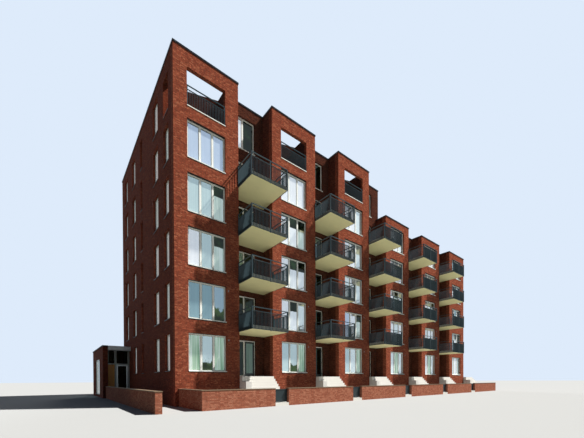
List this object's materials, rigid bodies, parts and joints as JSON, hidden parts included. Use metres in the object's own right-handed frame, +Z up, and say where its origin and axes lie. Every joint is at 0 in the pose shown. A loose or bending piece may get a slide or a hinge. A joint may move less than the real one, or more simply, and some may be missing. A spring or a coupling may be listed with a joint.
{
  "type": "apartment building",
  "caption": "Brick apartment row with projecting towers, recessed balconies, roof terraces, garden steps and an entrance wing.",
  "frame": {"origin": "middle of the footprint, at pavement level", "axes": "+X along the street front to the right as seen from the street, +Y from the street to the rear, +Z up"},
  "size_m": [39.83, 21.82, 19.3],
  "materials": {
    "brick": "matt",
    "window_glass": "polished",
    "cream_frame": "satin",
    "dark_green_leaf": "satin",
    "dark_steel": "satin",
    "white_concrete": "matt",
    "pale_concrete": "matt",
    "stone_coping": "matt",
    "roof_felt": "matt",
    "dark_cap": "satin",
    "grey_panel": "satin",
    "ochre_panel": "satin",
    "grey_aluminium": "satin"
  },
  "bodies": {
    "building": {"tower_front_1": "brick", "tower_front_2": "brick", "tower_front_3": "brick", "tower_front_4": "brick", "tower_front_5": "brick", "tower_front_6": "brick", "tower_side_walls": "brick", "recess_walls_tall": "brick", "recess_walls_low": "brick", "recess_bases": "brick", "side_wall_front": "brick", "side_wall_left": "brick", "side_wall_right": "brick", "rear_wall_tall": "brick", "rear_wall_low": "brick", "tall_end_wall": "brick", "roof_terrace_walls": "brick", "floor_slabs": "pale_concrete", "roofs": "roof_felt", "roof_edge_cap": "dark_cap", "balcony_slabs": "pale_concrete", "balcony_railings_1": "dark_steel", "balcony_railings_2": "dark_steel", "balcony_railings_3": "dark_steel", "balcony_railings_4": "dark_steel", "balcony_railings_5": "dark_steel", "roof_terrace_railings": "dark_steel", "front_frames": "cream_frame", "front_glass": "window_glass", "balcony_doors": "dark_green_leaf", "window_sills": "cream_frame", "side_frames": "cream_frame", "side_glass": "window_glass", "rear_frames": "cream_frame", "rear_glass": "window_glass", "door_hinges": "grey_aluminium", "terraces": "white_concrete", "garden_steps": "white_concrete", "step_cheeks": "white_concrete", "garden_walls": "brick", "garden_copings": "stone_coping", "wing_walls": "brick", "wing_base": "pale_concrete", "wing_roof": "roof_felt", "canopy": "grey_panel", "entrance_screen": "cream_frame", "entrance_panel": "ochre_panel"},
    "terrace_door_1_leaf": {"terrace_door_1": "dark_green_leaf"},
    "terrace_door_2_leaf": {"terrace_door_2": "dark_green_leaf"},
    "terrace_door_3_leaf": {"terrace_door_3": "dark_green_leaf"},
    "terrace_door_4_leaf": {"terrace_door_4": "dark_green_leaf"},
    "terrace_door_5_leaf": {"terrace_door_5": "dark_green_leaf"},
    "terrace_door_6_leaf": {"terrace_door_6": "dark_green_leaf"},
    "garden_gate_1_leaf": {"garden_gate_1": "dark_steel"},
    "garden_gate_2_leaf": {"garden_gate_2": "dark_steel"},
    "garden_gate_3_leaf": {"garden_gate_3": "dark_steel"},
    "garden_gate_4_leaf": {"garden_gate_4": "dark_steel"},
    "garden_gate_5_leaf": {"garden_gate_5": "dark_steel"},
    "entrance_door_leaf": {"entrance_door": "grey_aluminium"}
  },
  "joints": [
    {"name": "terrace_door_1_hinge", "type": "hinge", "parent": "building", "child": "terrace_door_1_leaf", "pos_m": [-12.3015, -6.479, 1.64], "axis": [0, 0, 1], "range_deg": [0, 90]},
    {"name": "terrace_door_2_hinge", "type": "hinge", "parent": "building", "child": "terrace_door_2_leaf", "pos_m": [-6.0015, -6.479, 1.64], "axis": [0, 0, 1], "range_deg": [0, 90]},
    {"name": "terrace_door_3_hinge", "type": "hinge", "parent": "building", "child": "terrace_door_3_leaf", "pos_m": [0.2985, -6.479, 1.64], "axis": [0, 0, 1], "range_deg": [0, 90]},
    {"name": "terrace_door_4_hinge", "type": "hinge", "parent": "building", "child": "terrace_door_4_leaf", "pos_m": [6.5985, -6.479, 1.64], "axis": [0, 0, 1], "range_deg": [0, 90]},
    {"name": "terrace_door_5_hinge", "type": "hinge", "parent": "building", "child": "terrace_door_5_leaf", "pos_m": [12.8985, -6.479, 1.64], "axis": [0, 0, 1], "range_deg": [0, 90]},
    {"name": "terrace_door_6_hinge", "type": "hinge", "parent": "building", "child": "terrace_door_6_leaf", "pos_m": [19.1985, -6.479, 1.64], "axis": [0, 0, 1], "range_deg": [0, 90]},
    {"name": "garden_gate_1_hinge", "type": "hinge", "parent": "building", "child": "garden_gate_1_leaf", "pos_m": [-13.6705, -10.661, 0.204], "axis": [0, 0, 1], "range_deg": [0, 90]},
    {"name": "garden_gate_2_hinge", "type": "hinge", "parent": "building", "child": "garden_gate_2_leaf", "pos_m": [-7.3705, -10.661, 0.204], "axis": [0, 0, 1], "range_deg": [0, 90]},
    {"name": "garden_gate_3_hinge", "type": "hinge", "parent": "building", "child": "garden_gate_3_leaf", "pos_m": [-1.0705, -10.661, 0.204], "axis": [0, 0, 1], "range_deg": [0, 90]},
    {"name": "garden_gate_4_hinge", "type": "hinge", "parent": "building", "child": "garden_gate_4_leaf", "pos_m": [5.2295, -10.661, 0.204], "axis": [0, 0, 1], "range_deg": [0, 90]},
    {"name": "garden_gate_5_hinge", "type": "hinge", "parent": "building", "child": "garden_gate_5_leaf", "pos_m": [11.5295, -10.661, 0.204], "axis": [0, 0, 1], "range_deg": [0, 90]},
    {"name": "entrance_door_hinge", "type": "hinge", "parent": "building", "child": "entrance_door_leaf", "pos_m": [-18.0255, 4.321, 0.06], "axis": [0, 0, 1], "range_deg": [0, 90]}
  ]
}
